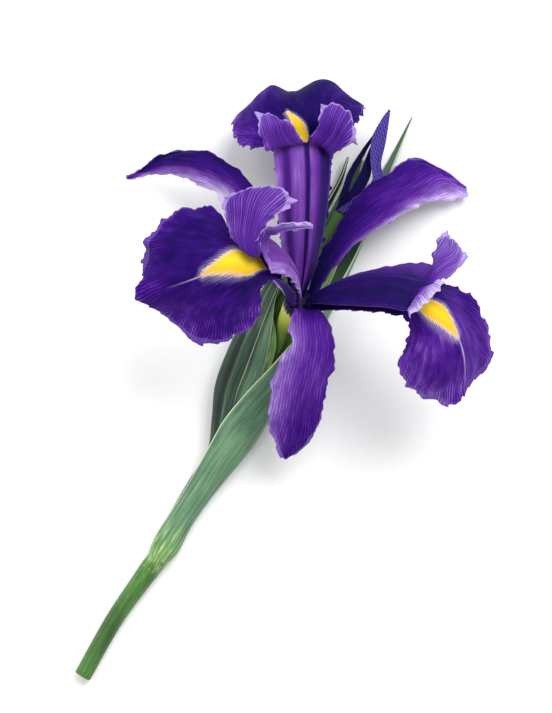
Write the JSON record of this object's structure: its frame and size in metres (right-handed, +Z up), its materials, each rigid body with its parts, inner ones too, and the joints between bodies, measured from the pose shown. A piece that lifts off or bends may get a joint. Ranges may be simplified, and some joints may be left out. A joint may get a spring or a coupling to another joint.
{
  "type": "cut iris stem",
  "caption": "Cut Dutch iris lying flat: open violet flower with yellow signals, sheathing green bracts, a furled second bud and a short bare stem.",
  "frame": {"origin": "on the table, under the middle of the whole flower and stem", "axes": "+Z up from the table; +Y from the cut end of the stem towards the flower; +X to the right looking down"},
  "size_m": [0.1346, 0.1952, 0.0799],
  "materials": {
    "fall": "velvety deep violet with a yellow signal",
    "standard": "satin violet with fine lengthwise veins",
    "style": "satin lavender violet",
    "anther": "pale cream, matt",
    "bud": "navy violet, matt",
    "bract": "grey-green leaf with a waxy bloom",
    "inner_bract": "fresh green leaf",
    "stem": "bright green, slightly glossy",
    "tube": "yellow-green, slightly glossy"
  },
  "bodies": {
    "root": {"stem": "stem", "outer_sheath": "bract", "left_bract": "bract", "middle_bract": "bract", "inner_bract": "inner_bract", "perianth_tube": "tube", "bud_tube": "tube", "bud_petal_outer": "bud", "bud_petal_inner": "bud", "bud_petal_folded": "bud", "fall_left": "fall", "fall_back": "fall", "fall_right": "fall", "standard_left": "standard", "standard_right": "standard", "standard_front": "standard", "style_arm_left": "style", "style_arm_back": "style", "style_arm_right": "style", "stamen_left": "anther", "stamen_back": "anther", "stamen_right": "anther"}
  },
  "joints": []
}
